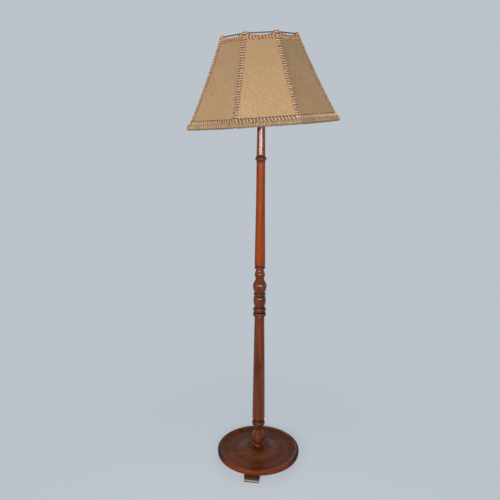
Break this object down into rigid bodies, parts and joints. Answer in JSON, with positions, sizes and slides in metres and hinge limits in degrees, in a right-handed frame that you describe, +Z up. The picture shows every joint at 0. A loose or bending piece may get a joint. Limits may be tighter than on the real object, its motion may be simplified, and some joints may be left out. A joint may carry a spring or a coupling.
{
  "type": "candlestick floor lamp",
  "caption": "Turned wooden candlestick floor lamp on a round dished base with toed feet, a bayonet lampholder, and an eight-sided linen shade on a tilting gimbal.",
  "frame": {"origin": "centre of the base on the floor, on the column's axis", "axes": "+Z up along the column; -Y towards the viewer, the front"},
  "size_m": [0.5213, 0.5216, 1.6296],
  "materials": {
    "turned_wood": "glossy shellac over brown stain",
    "foot_wood": "glossy dark stain",
    "plain_steel": "dull zinc",
    "frame_steel": "dull drawn wire",
    "brass": "aged, lightly polished",
    "solder": "soft solder",
    "moulded_brown": "moulded brown resin",
    "pearl_glass": "pearl",
    "linen": "plain-weave linen, aged",
    "braid": "plaited gimp",
    "fringe": "looped trimming"
  },
  "bodies": {
    "stand": {"base_disc": "turned_wood", "foot_1": "foot_wood", "foot_2": "foot_wood", "foot_3": "foot_wood", "foot_screws": "plain_steel", "base_tube": "brass", "base_washer": "plain_steel", "base_nut": "brass", "column_lower": "turned_wood", "column_middle": "turned_wood", "column_upper": "turned_wood", "holder_tube": "brass", "holder_cap": "brass", "holder_core": "moulded_brown", "contact_plungers": "brass", "terminal_screws": "brass", "holder_skirt": "brass", "shade_ring_lower": "brass", "shade_ring_upper": "brass", "bulb_cap": "brass", "bulb_pins": "brass", "bulb_contacts": "solder", "bulb_glass": "pearl_glass"},
    "push_bar": {"push_bar": "moulded_brown"},
    "gimbal": {"gimbal_ring": "frame_steel", "gimbal_pins": "brass"},
    "shade": {"gimbal_arm_1": "frame_steel", "gimbal_arm_2": "frame_steel", "top_wire": "frame_steel", "bottom_wire": "frame_steel", "strut_1": "frame_steel", "strut_2": "frame_steel", "strut_3": "frame_steel", "strut_4": "frame_steel", "strut_5": "frame_steel", "strut_6": "frame_steel", "strut_7": "frame_steel", "strut_8": "frame_steel", "panel_1": "linen", "panel_2": "linen", "panel_3": "linen", "panel_4": "linen", "panel_5": "linen", "panel_6": "linen", "panel_7": "linen", "panel_8": "linen", "strut_braid_1": "braid", "strut_braid_2": "braid", "strut_braid_3": "braid", "strut_braid_4": "braid", "strut_braid_5": "braid", "strut_braid_6": "braid", "strut_braid_7": "braid", "strut_braid_8": "braid", "top_braid": "braid", "bottom_braid": "braid", "fringe": "fringe"}
  },
  "joints": [
    {"name": "switch_push", "type": "slide", "parent": "stand", "child": "push_bar", "axis": [1, 0, 0], "range_m": [0, 0.006]},
    {"name": "shade_turn", "type": "hinge", "parent": "stand", "child": "gimbal", "pos_m": [0, 0, 1.40879], "axis": [0, 0, 1], "continuous": true},
    {"name": "shade_tilt", "type": "hinge", "parent": "gimbal", "child": "shade", "pos_m": [0, 0, 1.40879], "axis": [0.4352, -0.9003, 0], "range_deg": [-15.5, 8.5]}
  ]
}
